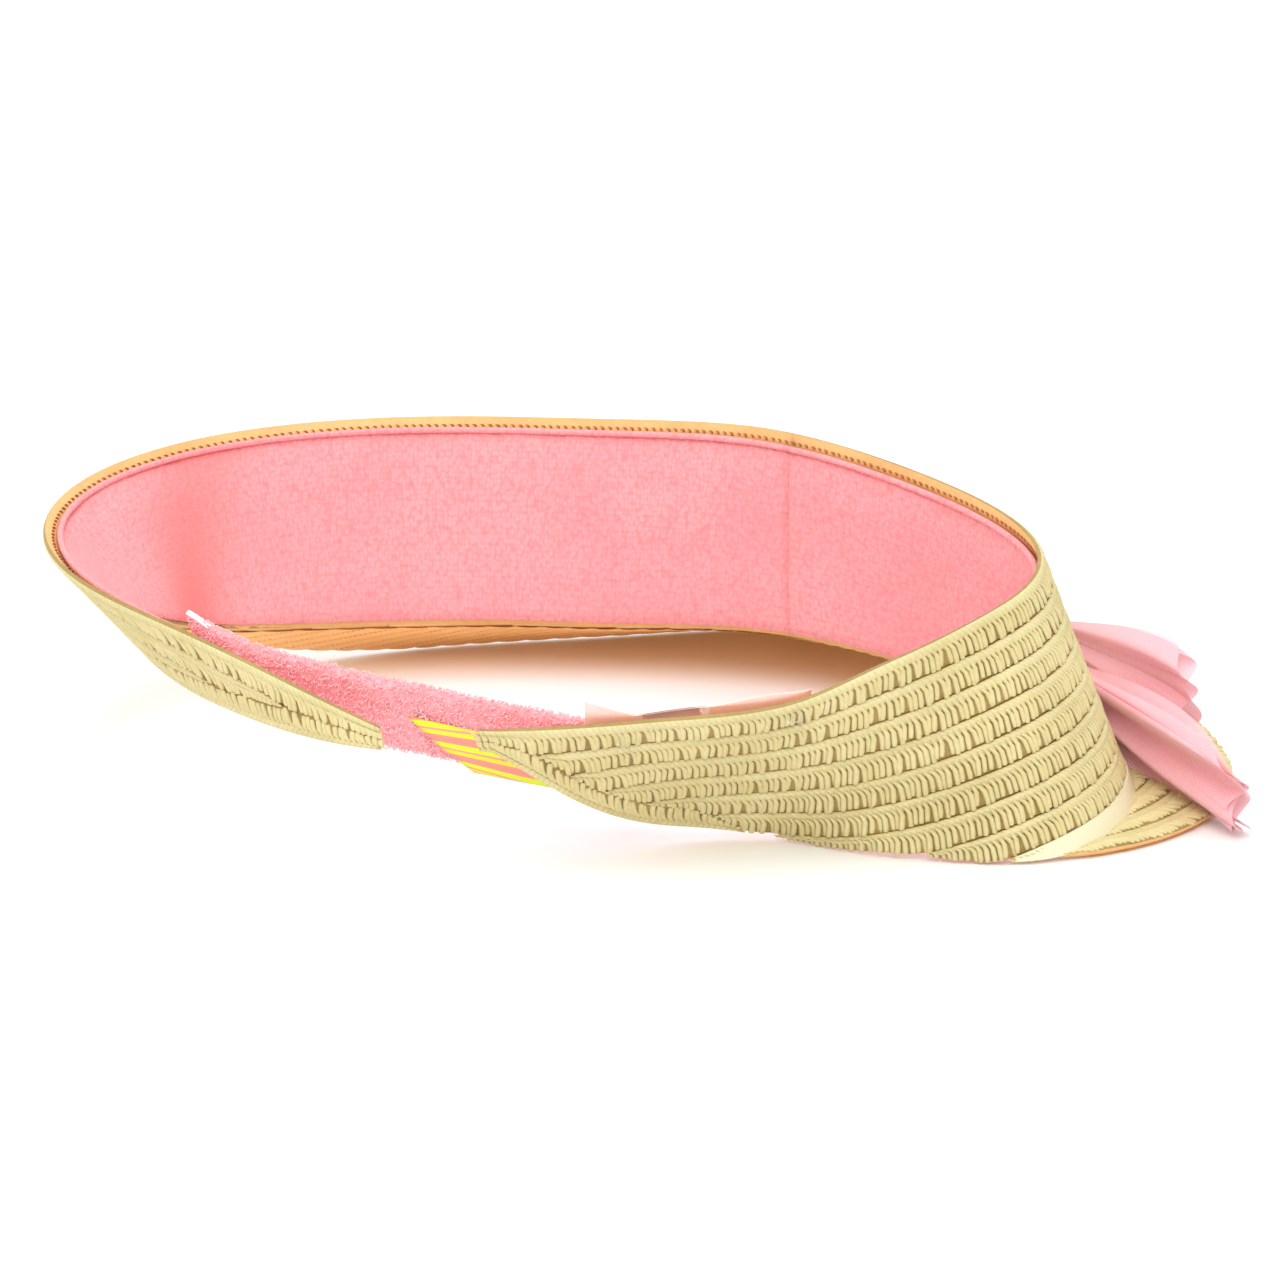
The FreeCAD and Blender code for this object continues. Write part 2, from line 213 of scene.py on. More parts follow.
def stretch(point_at, first, last, step):
    """Angles from first to last at which the points lie about step millimetres apart."""
    fine = [first + (last - first) * i / 400 for i in range(401)]
    lengths = [0.0]
    for a, b in zip(fine, fine[1:]):
        lengths.append(lengths[-1] + (point_at(b) - point_at(a)).length)
    count = max(2, round(lengths[-1] / step))
    found, k = [], 0
    for i in range(count + 1):
        goal = lengths[-1] * i / count
        while k < 399 and lengths[k + 1] < goal:
            k += 1
        u = (goal - lengths[k]) / max(lengths[k + 1] - lengths[k], 1e-9)
        found.append(fine[k] + (fine[k + 1] - fine[k]) * min(u, 1))
    return found, lengths[-1]


def where_wide(width, first, last, least):
    fine = [first + (last - first) * i / 360 for i in range(361)]
    wide = [angle for angle in fine if width(angle) > least]
    return (wide[0], wide[-1]) if len(wide) > 1 else None


# ---------------------------------------------------------------- meshes
def mesh_object(name, points, faces, material, uvs=None):
    """A mesh from points in millimetres; uvs is one pair per point, in centimetres of cloth."""
    mesh = bpy.data.meshes.new(name)
    mesh.from_pydata([Vector(p) * MM for p in points], [], faces)
    mesh.materials.append(material)
    if uvs:
        layer = mesh.uv_layers.new(name="cloth")
        for loop in mesh.loops:
            layer.data[loop.index].uv = uvs[loop.vertex_index]
    mesh.validate()
    mesh.polygons.foreach_set("use_smooth", [True] * len(mesh.polygons))
    piece = bpy.data.objects.new(name, mesh)
    bpy.context.scene.collection.objects.link(piece)
    face_outwards(piece)
    return piece


def face_outwards(piece):
    """Turns the faces of a closed mesh outwards."""
    build = bmesh.new()
    build.from_mesh(piece.data)
    bmesh.ops.recalc_face_normals(build, faces=build.faces)
    build.to_mesh(piece.data)
    build.free()


def ring_faces(sections, count):
    """Faces of a tube: its sides, then its two end caps."""
    faces = []
    for i in range(sections - 1):
        for k in range(count):
            a, b = i * count + k, i * count + (k + 1) % count
            faces.append((a, b, b + count, a + count))
    faces.append(tuple(range(count))[::-1])
    faces.append(tuple((sections - 1) * count + k for k in range(count)))
    return faces


def grid_faces(rows, columns):
    """Faces of a sheet of rows by columns."""
    faces = []
    for i in range(rows):
        for k in range(columns):
            a = i * (columns + 1) + k
            faces.append((a, a + 1, a + columns + 2, a + columns + 1))
    return faces


def tube_mesh(name, sections, material):
    """A closed solid through sections that all have the same number of corners."""
    count = len(sections[0])
    points, uvs = [], []
    along = 0.0
    for i, section in enumerate(sections):
        if i:
            along += (section[0] - sections[i - 1][0]).length
        around = 0.0
        for k, corner in enumerate(section):
            if k:
                around += (corner - section[k - 1]).length
            points.append(corner)
            uvs.append((along / CLOTH_UNIT, around / CLOTH_UNIT))
    tube = mesh_object(name, points, ring_faces(len(sections), count), material, uvs)
    for end in tube.data.polygons[-2:]:
        end.use_smooth = False
    return tube


def join(name, pieces):
    """One object of several, with their materials."""
    with bpy.context.temp_override(
        active_object=pieces[0], object=pieces[0], selected_editable_objects=pieces, selected_objects=pieces
    ):
        bpy.ops.object.join()
    pieces[0].name = name
    return pieces[0]


# ---------------------------------------------------------------- materials
def new_material(name):
    material = bpy.data.materials.new(name)
    material.use_nodes = True
    nodes = material.node_tree.nodes
    return material, nodes, material.node_tree.links, nodes["Principled BSDF"]


def added(nodes, kind, values=None, **settings):
    """A new node with its settings and its inputs' fixed values."""
    node = nodes.new(kind)
    for setting, value in settings.items():
        setattr(node, setting, value)
    for socket, value in (values or {}).items():
        node.inputs[socket].default_value = value
    return node


def speckle_group():
    """Colour variation between two colours, from two scales of noise on Object coordinates."""
    group = bpy.data.node_groups.new("mottled_colour", "ShaderNodeTree")
    for label in ("Light", "Dark"):
        group.interface.new_socket(label, in_out="INPUT", socket_type="NodeSocketColor")
    for label in ("Fine scale", "Broad scale", "Amount"):
        group.interface.new_socket(label, in_out="INPUT", socket_type="NodeSocketFloat")
    group.interface.new_socket("Colour", in_out="OUTPUT", socket_type="NodeSocketColor")
    nodes, links = group.nodes, group.links
    inside = nodes.new("NodeGroupInput")
    outside = nodes.new("NodeGroupOutput")
    place = nodes.new("ShaderNodeTexCoord")
    fine = added(nodes, "ShaderNodeTexNoise", {"Detail": 3})
    broad = added(nodes, "ShaderNodeTexNoise", {"Detail": 2})
    both = added(nodes, "ShaderNodeMath", {1: 0.6}, operation="MULTIPLY_ADD")
    spread = added(nodes, "ShaderNodeMapRange", {"From Min": 0.55, "From Max": 1.05})
    amount = added(nodes, "ShaderNodeMath", operation="MULTIPLY")
    mix = added(nodes, "ShaderNodeMix", data_type="RGBA")
    links.new(place.outputs["Object"], fine.inputs["Vector"])
    links.new(place.outputs["Object"], broad.inputs["Vector"])
    links.new(inside.outputs["Fine scale"], fine.inputs["Scale"])
    links.new(inside.outputs["Broad scale"], broad.inputs["Scale"])
    links.new(fine.outputs["Fac"], both.inputs[0])
    links.new(broad.outputs["Fac"], both.inputs[2])
    links.new(both.outputs[0], spread.inputs["Value"])
    links.new(spread.outputs[0], amount.inputs[0])
    links.new(inside.outputs["Amount"], amount.inputs[1])
    links.new(amount.outputs[0], mix.inputs[0])
    links.new(inside.outputs["Light"], mix.inputs[6])
    links.new(inside.outputs["Dark"], mix.inputs[7])
    links.new(mix.outputs[2], outside.inputs["Colour"])
    return group


MOTTLED = speckle_group()


def mottled(nodes, light, dark, fine, broad, amount):
    values = {
        "Light": (*light, 1),
        "Dark": (*dark, 1),
        "Fine scale": fine,
        "Broad scale": broad,
        "Amount": amount,
    }
    node = added(nodes, "ShaderNodeGroup", values, node_tree=MOTTLED)
    return node


def bump(nodes, links, height, shader, strength, distance):
    node = added(nodes, "ShaderNodeBump", {"Strength": strength, "Distance": distance})
    links.new(height, node.inputs["Height"])
    links.new(node.outputs["Normal"], shader.inputs["Normal"])
    return node


def straw_material(name, light, dark, amount, glow=0.0):
    """Twisted paper straw with fine creases along each strand; glow is the daylight that comes through it."""
    material, nodes, links, shader = new_material(name)
    colour = mottled(nodes, light, dark, 900, 60, amount)
    # Painted shade: where a mesh has a groove attribute, its grooves are darkened towards dark brown.
    groove = added(nodes, "ShaderNodeAttribute", attribute_name="groove")
    groove_shaded = added(nodes, "ShaderNodeMix", {7: (0.20, 0.075, 0.015, 1)}, data_type="RGBA")
    links.new(groove.outputs["Fac"], groove_shaded.inputs[0])
    links.new(colour.outputs["Colour"], groove_shaded.inputs[6])
    links.new(groove_shaded.outputs[2], shader.inputs["Base Color"])
    place = nodes.new("ShaderNodeTexCoord")
    crease = added(nodes, "ShaderNodeTexNoise", {"Scale": 1800, "Detail": 4})
    links.new(place.outputs["Object"], crease.inputs["Vector"])
    bump(nodes, links, crease.outputs["Fac"], shader, 0.35, 0.0002)
    shader.inputs["Roughness"].default_value = 0.62
    shader.inputs["Specular IOR Level"].default_value = 0.35
    shader.inputs["Sheen Weight"].default_value = 0.1
    shader.inputs["Emission Strength"].default_value = glow
    if glow:
        links.new(groove_shaded.outputs[2], shader.inputs["Emission Color"])
    return material


def rim_material():
    """The smooth rolled rim of each course, with slanting strands drawn in the surface."""
    material, nodes, links, shader = new_material("straw_rim")
    colour = mottled(nodes, (0.76, 0.67, 0.36), (0.60, 0.50, 0.22), 700, 50, 0.8)
    place = added(nodes, "ShaderNodeUVMap", uv_map="cloth")
    turn = added(nodes, "ShaderNodeMapping", {"Rotation": (0, 0, math.radians(32))})
    wave = added(nodes, "ShaderNodeTexWave", {"Scale": 3.4, "Distortion": 1.2, "Detail": 2})
    ramp = added(nodes, "ShaderNodeMapRange", {"From Min": 0.0, "From Max": 0.25, "To Min": 0.72})
    shade = added(nodes, "ShaderNodeMix", {0: 0.45}, data_type="RGBA", blend_type="MULTIPLY")
    links.new(place.outputs["UV"], turn.inputs["Vector"])
    links.new(turn.outputs["Vector"], wave.inputs["Vector"])
    links.new(wave.outputs["Fac"], ramp.inputs["Value"])
    links.new(colour.outputs["Colour"], shade.inputs[6])
    links.new(ramp.outputs[0], shade.inputs[7])
    links.new(shade.outputs[2], shader.inputs["Base Color"])
    bump(nodes, links, wave.outputs["Fac"], shader, 0.5, 0.0003)
    shader.inputs["Roughness"].default_value = 0.6
    shader.inputs["Specular IOR Level"].default_value = 0.35
    return material


def terry_material(name, light, dark, loop_scale, depth, crease_shade_colour=(1.0, 0.20, 0.19)):
    """Looped cotton: rows of small loops, soft sheen and a little mottling."""
    material, nodes, links, shader = new_material(name)
    colour = mottled(nodes, light, dark, 1300, 45, 0.75)
    place = added(nodes, "ShaderNodeUVMap", uv_map="cloth")
    squeeze = added(nodes, "ShaderNodeMapping", {"Scale": (1.0, 0.72, 1.0)})
    loops = added(nodes, "ShaderNodeTexVoronoi", {"Scale": loop_scale, "Randomness": 0.62})
    pile = added(nodes, "ShaderNodeTexNoise", {"Scale": loop_scale * 2.3, "Detail": 3})
    high = added(nodes, "ShaderNodeMath", {1: -1.0}, operation="MULTIPLY_ADD")
    shade = added(nodes, "ShaderNodeMapRange", {"From Min": 0.35, "From Max": 0.95})
    dim = added(nodes, "ShaderNodeMix", {7: (*[c * 0.8 for c in dark], 1)}, data_type="RGBA")
    links.new(place.outputs["UV"], squeeze.inputs["Vector"])
    links.new(squeeze.outputs["Vector"], loops.inputs["Vector"])
    links.new(squeeze.outputs["Vector"], pile.inputs["Vector"])
    links.new(loops.outputs["Distance"], high.inputs[0])
    links.new(pile.outputs["Fac"], high.inputs[2])
    links.new(loops.outputs["Distance"], shade.inputs["Value"])
    links.new(shade.outputs[0], dim.inputs[0])
    links.new(colour.outputs["Colour"], dim.inputs[6])
    # Painted shade: darker coral where the sweatband's crease attribute is set.
    fold = added(nodes, "ShaderNodeAttribute", attribute_name="crease")
    crease_shaded = added(nodes, "ShaderNodeMix", {7: (*crease_shade_colour, 1)}, data_type="RGBA")
    links.new(fold.outputs["Fac"], crease_shaded.inputs[0])
    links.new(dim.outputs[2], crease_shaded.inputs[6])
    links.new(crease_shaded.outputs[2], shader.inputs["Base Color"])
    bump(nodes, links, high.outputs[0], shader, 0.6, depth)
    shader.inputs["Roughness"].default_value = 0.92
    shader.inputs["Specular IOR Level"].default_value = 0.15
    shader.inputs["Sheen Weight"].default_value = 0.35
    shader.inputs["Sheen Roughness"].default_value = 0.5
    shader.inputs["Sheen Tint"].default_value = (1.0, 0.75, 0.78, 1)
    return material


def pile_material():
    """The cotton loops that stand up from the strap, in a lighter pink with a little emission: painted light
    that lifts them out of their shade.
    """
    material, nodes, links, shader = new_material("terry_pile")
    colour = mottled(nodes, (1.0, 0.60, 0.62), (1.0, 0.44, 0.47), 1500, 70, 0.7)
    links.new(colour.outputs["Colour"], shader.inputs["Base Color"])
    links.new(colour.outputs["Colour"], shader.inputs["Emission Color"])
    shader.inputs["Emission Strength"].default_value = 0.14
    shader.inputs["Roughness"].default_value = 0.9
    shader.inputs["Specular IOR Level"].default_value = 0.15
    shader.inputs["Sheen Weight"].default_value = 0.3
    return material


def satin_material():
    material, nodes, links, shader = new_material("satin_ribbon")
    colour = mottled(nodes, (1.0, 0.72, 0.64), (0.95, 0.60, 0.55), 800, 60, 0.6)
    place = added(nodes, "ShaderNodeUVMap", uv_map="cloth")
    weave = added(nodes, "ShaderNodeTexWave", {"Scale": 22})
    links.new(place.outputs["UV"], weave.inputs["Vector"])
    links.new(colour.outputs["Colour"], shader.inputs["Base Color"])
    bump(nodes, links, weave.outputs["Fac"], shader, 0.15, 0.0001)
    shader.inputs["Roughness"].default_value = 0.38
    shader.inputs["Anisotropic"].default_value = 0.4
    return material


def label_material():
    """Generic slanting stripes: coral ground with lime and yellow."""
    material, nodes, links, shader = new_material("striped_weave")
    place = added(nodes, "ShaderNodeUVMap", uv_map="cloth")
    turn = added(
        nodes, "ShaderNodeMapping", {"Rotation": (0, 0, math.radians(22)), "Scale": (0.35, 1.0, 1.0)},
    )
    wave = added(nodes, "ShaderNodeTexWave", {"Scale": 0.62, "Phase Offset": 1.3})
    wave.bands_direction = "Y"
    wave.wave_profile = "SAW"
    ramp = nodes.new("ShaderNodeValToRGB")
    ramp.color_ramp.interpolation = "CONSTANT"
    bands = [
        (0.0, (1.0, 0.28, 0.22)),
        (0.30, (0.72, 0.85, 0.02)),
        (0.58, (1.0, 0.33, 0.26)),
        (0.68, (1.0, 0.76, 0.03)),
        (0.90, (1.0, 0.30, 0.24)),
    ]
    while len(ramp.color_ramp.elements) < len(bands):
        ramp.color_ramp.elements.new(0.5)
    for element, (position, colour) in zip(ramp.color_ramp.elements, bands):
        element.position = position
        element.color = (*colour, 1)
    weave = added(nodes, "ShaderNodeTexVoronoi", {"Scale": 18})
    links.new(place.outputs["UV"], turn.inputs["Vector"])
    links.new(turn.outputs["Vector"], wave.inputs["Vector"])
    links.new(wave.outputs["Fac"], ramp.inputs["Fac"])
    links.new(ramp.outputs["Color"], shader.inputs["Base Color"])
    links.new(place.outputs["UV"], weave.inputs["Vector"])
    bump(nodes, links, weave.outputs["Distance"], shader, 0.3, 0.0001)
    shader.inputs["Roughness"].default_value = 0.55
    return material


def tulle_material():
    """Fine net: threads round small holes, so it is half seen through."""
    material, nodes, links, shader = new_material("tulle_net")
    colour = mottled(nodes, (1.0, 0.54, 0.59), (1.0, 0.44, 0.51), 400, 50, 0.6)
    place = added(nodes, "ShaderNodeUVMap", uv_map="cloth")
    net = added(
        nodes, "ShaderNodeTexVoronoi", {"Scale": 26, "Randomness": 0.25}, feature="DISTANCE_TO_EDGE",
    )
    hole = added(
        nodes, "ShaderNodeMapRange", {"From Min": 0.10, "From Max": 0.20, "To Min": 1.0, "To Max": 0.62},
    )
    links.new(place.outputs["UV"], net.inputs["Vector"])
    links.new(net.outputs["Distance"], hole.inputs["Value"])
    links.new(hole.outputs[0], shader.inputs["Alpha"])
    links.new(colour.outputs["Colour"], shader.inputs["Base Color"])
    bump(nodes, links, net.outputs["Distance"], shader, 0.2, 0.0002)
    shader.inputs["Roughness"].default_value = 0.7
    shader.inputs["Specular IOR Level"].default_value = 0.25
    shader.inputs["Sheen Weight"].default_value = 0.4
    return material


def thread_material(name, colour, roughness, transmission=0.0):
    material, nodes, links, shader = new_material(name)
    tone = mottled(nodes, colour, [c * 0.85 for c in colour], 900, 90, 0.5)
    links.new(tone.outputs["Colour"], shader.inputs["Base Color"])
    shader.inputs["Roughness"].default_value = roughness
    shader.inputs["Transmission Weight"].default_value = transmission
    return material


STRAND = straw_material("straw_strand", (0.74, 0.64, 0.33), (0.58, 0.48, 0.20), 0.8)
# Darker straw: painted shade, for the tucked edge under each course and the bed between the strands.
SHADED = straw_material("straw_shaded", (0.42, 0.29, 0.09), (0.26, 0.16, 0.04), 0.7)
# Straw for the backs of the courses: orange, brightened as painted light that comes through the straw and up
# from the white floor.
INNER = straw_material("straw_inner", (0.84, 0.50, 0.20), (0.70, 0.36, 0.12), 0.8)
# Straw under the brim: bright orange with a little emission, painted light that comes through the straw and
# up from the floor.
UNDERSIDE = straw_material("straw_underside", (0.86, 0.46, 0.15), (0.72, 0.33, 0.08), 0.8, glow=0.14)
RIM = rim_material()
TERRY = terry_material("terry_jersey", (1.0, 0.42, 0.43), (1.0, 0.32, 0.34), 13, 0.0003)
TOWEL = terry_material("terry_towel", (1.0, 0.50, 0.53), (1.0, 0.36, 0.40), 9, 0.0005)
PILE = pile_material()
SATIN = satin_material()
LABEL = label_material()
TULLE = tulle_material()
NYLON = thread_material("clear_nylon", (0.9, 0.9, 0.86), 0.2, 0.5)
HOLES = thread_material("needle_holes", (0.42, 0.18, 0.05), 0.9)


# ---------------------------------------------------------------- strokes of plait, by Geometry Nodes
def stroke_mesh():
    """One strand of plait: it turns out of the rim, then runs straight across to the edge."""
    # distance across, shift along the course, width, height
    rings = [
        (0.00, 1.10, 0.50, 0.10),
        (0.14, 0.55, 0.85, 0.80),
        (0.34, 0.12, 1.00, 1.00),
        (0.75, 0.00, 1.00, 0.95),
        (0.95, 0.00, 0.90, 0.75),
        (1.00, 0.00, 0.60, 0.25),
    ]
    points = []
    for across, along, width, rise in rings:
        for corner, high in ((-0.5, 0.0), (-0.27, 0.92), (0.0, 1.06), (0.27, 0.92), (0.5, 0.0)):
            points.append(Vector((along + corner * width, across, rise * high)) / MM)
    return mesh_object("stroke", points, ring_faces(len(rings), 5), STRAND)


def repeat_tree(name):
    """Copies one small shape onto every point, turned by the points' own directions."""
    tree = bpy.data.node_groups.new(name, "GeometryNodeTree")
    inputs = {
        "Points": "Geometry",
        "Shape": "Object",
        "Material": "Material",
        "Slant": "Float",
        "Unevenness": "Float",
        "Tilt": "Float",
        "Seed": "Int",
    }
    for label, kind in inputs.items():
        tree.interface.new_socket(label, in_out="INPUT", socket_type="NodeSocket" + kind)
    tree.interface.new_socket("Strokes", in_out="OUTPUT", socket_type="NodeSocketGeometry")
    nodes, links = tree.nodes, tree.links
    inside, outside = nodes.new("NodeGroupInput"), nodes.new("NodeGroupOutput")

    def attribute(label):
        node = added(nodes, "GeometryNodeInputNamedAttribute", {"Name": label}, data_type="FLOAT_VECTOR")
        return node.outputs["Attribute"]

    def uneven(low, high, offset):
        node = added(nodes, "FunctionNodeRandomValue", {2: low, 3: high}, data_type="FLOAT")
        seed = added(nodes, "ShaderNodeMath", {1: offset}, operation="ADD")
        links.new(inside.outputs["Seed"], seed.inputs[0])
        links.new(seed.outputs[0], node.inputs["Seed"])
        scaled = added(nodes, "ShaderNodeMath", operation="MULTIPLY")
        links.new(node.outputs[1], scaled.inputs[0])
        links.new(inside.outputs["Unevenness"], scaled.inputs[1])
        return scaled.outputs[0]

    def total(a, b):
        node = added(nodes, "ShaderNodeMath", operation="ADD")
        links.new(a, node.inputs[0])
        links.new(b, node.inputs[1])
        return node.outputs[0]

    axes = added(nodes, "FunctionNodeAxesToRotation", primary_axis="Z", secondary_axis="Y")
    links.new(attribute("outward"), axes.inputs[0])
    links.new(attribute("heading"), axes.inputs[1])
    angles = nodes.new("ShaderNodeCombineXYZ")
    links.new(total(inside.outputs["Tilt"], uneven(-0.25, 0.25, 5)), angles.inputs["X"])
    links.new(total(inside.outputs["Slant"], uneven(-1.0, 1.0, 1)), angles.inputs["Z"])
    turned = nodes.new("FunctionNodeEulerToRotation")
    links.new(angles.outputs[0], turned.inputs[0])
    rotate = added(nodes, "FunctionNodeRotateRotation", rotation_space="LOCAL")
    links.new(axes.outputs[0], rotate.inputs[0])
    links.new(turned.outputs[0], rotate.inputs[1])
    one = added(nodes, "ShaderNodeVectorMath", operation="SCALE")
    grown = added(nodes, "ShaderNodeMath", {1: 1.0}, operation="ADD")
    links.new(uneven(-0.5, 0.5, 2), grown.inputs[0])
    links.new(attribute("extent"), one.inputs[0])
    links.new(grown.outputs[0], one.inputs["Scale"])
    shape = nodes.new("GeometryNodeObjectInfo")
    links.new(inside.outputs["Shape"], shape.inputs["Object"])
    copies = nodes.new("GeometryNodeInstanceOnPoints")
    links.new(inside.outputs["Points"], copies.inputs["Points"])
    links.new(shape.outputs["Geometry"], copies.inputs["Instance"])
    links.new(rotate.outputs[0], copies.inputs["Rotation"])
    links.new(one.outputs[0], copies.inputs["Scale"])
    real = nodes.new("GeometryNodeRealizeInstances")
    cover = nodes.new("GeometryNodeSetMaterial")
    links.new(copies.outputs[0], real.inputs[0])
    links.new(real.outputs[0], cover.inputs["Geometry"])
    links.new(inside.outputs["Material"], cover.inputs["Material"])
    links.new(cover.outputs[0], outside.inputs["Strokes"])
    return tree


STROKE = stroke_mesh()
REPEAT = repeat_tree("repeat_on_points")


def repeated(name, rows, shape, material, slant, unevenness, tilt, seed):
    """Copies of a shape; rows are (place, heading, outward, extent) in millimetres."""
    mesh = bpy.data.meshes.new(name)
    mesh.from_pydata([place * MM for place, _, _, _ in rows], [], [])
    for index, label in ((1, "heading"), (2, "outward"), (3, "extent")):
        values = mesh.attributes.new(label, "FLOAT_VECTOR", "POINT")
        scale = MM if label == "extent" else 1.0
        values.data.foreach_set("vector", [c * scale for row in rows for c in row[index]])
    points = bpy.data.objects.new(name, mesh)
    bpy.context.scene.collection.objects.link(points)
    modifier = points.modifiers.new("repeat", "NODES")
    modifier.node_group = REPEAT
    given = {
        "Shape": shape,
        "Material": material,
        "Slant": slant,
        "Unevenness": unevenness,
        "Tilt": tilt,
        "Seed": seed,
    }
    for item in REPEAT.interface.items_tree:
        if item.item_type == "SOCKET" and item.in_out == "INPUT" and item.name in given:
            modifier[item.identifier] = given[item.name]
    evaluated = points.evaluated_get(bpy.context.evaluated_depsgraph_get())
    final = bpy.data.meshes.new_from_object(evaluated)
    final.name = name
    points.modifiers.clear()
    points.data = final
    for label in ("heading", "outward", "extent"):
        if label in final.attributes:
            final.attributes.remove(final.attributes[label])
    if not final.uv_layers:
        final.uv_layers.new(name="cloth")
    final.polygons.foreach_set("use_smooth", [True] * len(final.polygons))
    return points


# ---------------------------------------------------------------- straw courses
# Outline of one course: across its width (0 at the rim) and out from the band's inner face.
LINE_OUTLINE = [(0.0, 0.10), (0.01, 0.55), (0.035, 0.80)]
RIM_OUTLINE = [(0.05, 0.95), (0.11, 1.22), (0.19, 1.30), (0.28, 1.22), (0.36, 1.04)]
BED_OUTLINE = [(0.44, 0.94), (0.75, 0.92), (0.975, 0.86)]
BACK_OUTLINE = [(0.985, 0.05), (0.5, 0.0)]
OUTLINE = LINE_OUTLINE + RIM_OUTLINE + BED_OUTLINE + BACK_OUTLINE
STROKE_PITCH = 1.06
STROKE_WIDTH = 1.2
STROKE_HEIGHT = 0.42


def assign_by_outline(piece, count, sections):
    """Gives the tucked edge, the rim, the bed and the back of a course their own materials; the tucked edge
    and the bed get the darker straw as painted shade, under the course above and between the strands.
    """
    line = len(LINE_OUTLINE)
    rim = line + len(RIM_OUTLINE)
    bed = rim + len(BED_OUTLINE)
    for index, polygon in enumerate(piece.data.polygons):
        k = index % count
        if index >= count * (sections - 1) or k >= bed - 1:
            polygon.material_index = 2
        elif line - 1 <= k < rim - 1:
            polygon.material_index = 0
        else:
            polygon.material_index = 1


def course_base(name, frames, width_at, outline):
    """The ribbon under the strokes; frames give (place, across, face) at each angle."""
    sections = []
    for (place, across, face), width in zip(frames, width_at):
        sections.append([place + across * (a * width) + face * o for a, o in outline])
    piece = tube_mesh(name, sections, RIM)
    piece.data.materials.append(SHADED)
    piece.data.materials.append(INNER)
    assign_by_outline(piece, len(outline), len(sections))
    return piece


def stroke_rows(frames, width_at, lift=0.90, start=0.24):
    rows = []
    for (place, across, face), width in zip(frames, width_at):
        short = min(1.0, width / COURSE + 0.15)
        extent = Vector((STROKE_WIDTH, width * (0.99 - start), STROKE_HEIGHT * short))
        rows.append((place + across * (width * start) + face * lift, across, face, extent))
    return rows


def plait(name, middle, frames_at, found, seed, slant=0.0, lift=0.90, outline=OUTLINE):
    """One course: its ribbon and the strands on it."""
    angles, _ = stretch(middle, found[0], found[1], 2.4)
    base = course_base(name, *frames_at(angles), outline)
    angles, _ = stretch(middle, found[0], found[1], STROKE_PITCH)
    rows = stroke_rows(*frames_at(angles), lift=lift)
    strokes = repeated(name + "_strands", rows, STROKE, STRAND, slant, 0.16, 0.0, seed)
    return join(name, [base, strokes])


# Along each tail the first course turns round the tip and comes back along the lower edge.
TURN = {"left": (112.0, 128.0, LEFT_TIP), "right": (-124.0, -140.0, RIGHT_TIP)}


def turned_width(angle):
    """Width of the course that comes back along a tail's lower edge."""
    start, full, _ = TURN["left" if angle > 0 else "right"]
    u = min(max((angle - start) / (full - start), 0), 1)
    return min(COURSE, band_width(angle) / 2) * u * u * (3 - 2 * u)


def band_plait(number, side, first, last, nodes):
    """One course of the band, from the front to one tail's tip."""
    top = COURSE * (number - 1)

    def width(angle):
        return min(COURSE, band_width(angle) - turned_width(angle) - top)

    found = where_wide(width, first, last, 0.8)
    if not found:
        return

    def middle(angle):
        return band_point(angle, top, 0)

    def frames_at(angles):
        frames = []
        for angle in angles:
            place, fall, face = band_frame(angle)
            frames.append((place + fall * top, fall, face))
        return frames, [max(width(angle), 0.3) for angle in angles]

    piece = plait("straw_course_%d_%s" % (number, side), middle, frames_at, found, number)
    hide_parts(*nodes)
    blend_to_tail(piece)


def turned_course(side):
    """The first course where it comes back along the tail's lower edge."""
    start, _, tip = TURN[side]
    found = where_wide(turned_width, *sorted((start, tip)), 0.6)

    def middle(angle):
        return band_point(angle, band_width(angle), 0)

    def frames_at(angles):
        frames = []
        for angle in angles:
            place, fall, face = band_frame(angle)
            frames.append((place + fall * band_width(angle), -fall, face))
        return frames, [max(turned_width(angle), 0.3) for angle in angles]

    piece = plait("straw_course_turned_%s" % side, middle, frames_at, found, 17)
    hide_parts("%s_tail_course_1" % side)
    blend_to_tail(piece)


def blend_to_tail(piece):
    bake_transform(piece)


NODES = set(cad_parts)


def existing(*names):
    return [name for name in names if name in NODES]


def band():
    for number in range(1, BAND_COURSES + 1):
        left = existing("crown_course_%d" % number, "left_tail_course_%d" % number)
        right = existing("right_tail_course_%d" % number)
        band_plait(number, "left", SPLIT, LEFT_TIP, left)
        band_plait(number, "right", RIGHT_TIP, SPLIT, right)
    turned_course("left")
    turned_course("right")


def brim():
    """The brim's courses; the underside shows only their smooth backs."""
    number = 0
    while True:
        number += 1
        node = "brim_course_%d" % number
        if node not in NODES:
            break
        inward = BRIM_COURSE * (number - 1)

        def width(angle, inward=inward):
            return min(BRIM_COURSE, brim_length(angle) - inward)

        found = where_wide(width, BRIM_FIRST + 1, BRIM_LAST - 1, 0.7)
        if not found:
            break

        def frames_at(angles, inward=inward, width=width):
            frames, widths = [], []
            for angle in angles:
                edge, across, face = brim_frame(angle)
                frames.append((edge + across * (inward + width(angle)), -across, face))
                widths.append(max(width(angle), 0.3))
            return frames, widths

        def middle(angle, inward=inward):
            edge, across, _ = brim_frame(angle)
            return edge + across * inward

        piece = plait("brim_plait_%d" % number, middle, frames_at, found, 30 + number, 0.2, 1.0, BRIM_OUTLINE)
        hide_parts(node)
        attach(piece, "crown")


